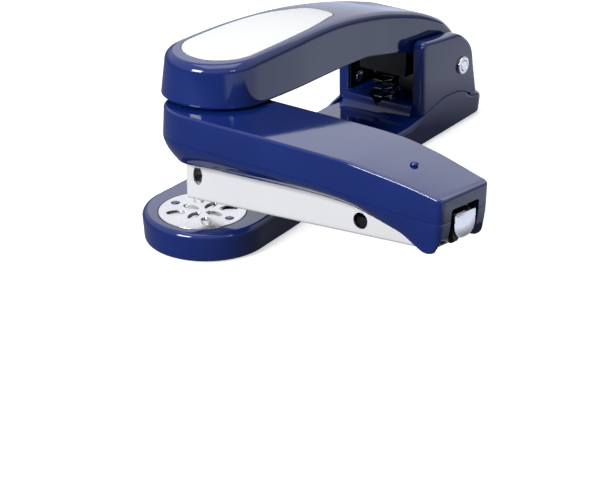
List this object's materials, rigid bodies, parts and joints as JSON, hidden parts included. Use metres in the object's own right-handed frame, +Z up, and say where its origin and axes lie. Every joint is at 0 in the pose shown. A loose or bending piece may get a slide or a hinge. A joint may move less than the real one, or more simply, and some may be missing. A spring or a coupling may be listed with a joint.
{
  "type": "rotating stapler",
  "caption": "Desk stapler with a long base, a lifting arm with an inlay, and a stapling head that swivels out beside it over a round anvil.",
  "frame": {"origin": "underside of the base, below the middle of the anvil", "axes": "+Z up, +Y along the base from the anvil to the arm's pin, +X to the side that the head points to at rest"},
  "size_m": [0.1355, 0.1816, 0.0716],
  "materials": {
    "navy_plastic": "glossy moulded plastic",
    "black_plastic": "matte moulded plastic",
    "silver_inlay": "satin silver moulded plastic",
    "white_plastic": "satin white moulded plastic",
    "steel": "bright zinc-plated steel",
    "polished_steel": "polished steel",
    "dark_steel": "black-coated sheet steel",
    "rubber": "matte anti-slip rubber"
  },
  "bodies": {
    "base": {"base_shell": "navy_plastic", "yoke_housing": "navy_plastic", "yoke_frame": "dark_steel", "frame_rivet_left": "steel", "frame_rivet_right": "steel", "base_plate": "steel", "base_pad": "rubber", "base_screw_front_left": "steel", "base_screw_front_right": "steel", "base_screw_rear_left": "steel", "base_screw_rear_right": "steel", "anvil_disc": "steel", "pivot_pin": "steel", "pin_cap": "steel", "return_spring": "steel"},
    "arm": {"arm_shell": "navy_plastic", "arm_inlay": "silver_inlay", "arm_frame": "dark_steel", "pivot_sleeve": "black_plastic", "swivel_axle": "steel", "swivel_washer": "steel", "swivel_clip": "dark_steel"},
    "head": {"head_cover": "navy_plastic", "head_skirt": "navy_plastic", "detent_nub": "navy_plastic", "head_frame": "dark_steel", "driver_blade": "steel", "hinge_stub_left": "steel", "hinge_stub_right": "steel", "head_spring": "steel"},
    "magazine": {"magazine_channel": "white_plastic", "staple_strip": "steel"},
    "rail": {"staple_rail": "steel", "rail_end": "black_plastic", "guide_rod": "steel", "latch_pin": "steel", "pusher_spring": "steel"},
    "pusher": {"pusher": "black_plastic"},
    "latch": {"rail_latch": "polished_steel"}
  },
  "joints": [
    {"name": "arm_pivot", "type": "hinge", "parent": "base", "child": "arm", "pos_m": [0, 0.1437, 0.025], "axis": [1, 0, 0], "range_deg": [0, 5.5], "stiffness_Nm_per_rad": 0.8, "springref_deg": -28.65, "deforming": ["return_spring"]},
    {"name": "head_swivel", "type": "hinge", "parent": "arm", "child": "head", "pos_m": [0, 0.00191, 0.05171], "axis": [0, 0.0958, 0.9954], "continuous": true},
    {"name": "magazine_pivot", "type": "hinge", "parent": "head", "child": "magazine", "pos_m": [0.10344, -0.00317, 0.03663], "axis": [0.0349, 0.9948, -0.0958], "range_deg": [0, 4], "deforming": ["head_spring"]},
    {"name": "rail_slide", "type": "slide", "parent": "magazine", "child": "rail", "axis": [0.997, -0.028, 0.0728], "range_m": [0, 0.085]},
    {"name": "pusher_slide", "type": "slide", "parent": "rail", "child": "pusher", "axis": [0.997, -0.028, 0.0728], "range_m": [0, 0.03], "stiffness_N_per_m": 40, "springref_m": -0.04, "deforming": ["pusher_spring"]},
    {"name": "latch_pivot", "type": "hinge", "parent": "rail", "child": "latch", "pos_m": [0.1083, -0.00315, 0.03868], "axis": [-0.0349, -0.9948, 0.0958], "range_deg": [0, 12], "stiffness_Nm_per_rad": 0.02, "springref_deg": -17.19}
  ],
  "couplings": [
    {"joint": "magazine_pivot", "follows": "arm_pivot", "ratio": 0.72727}
  ]
}
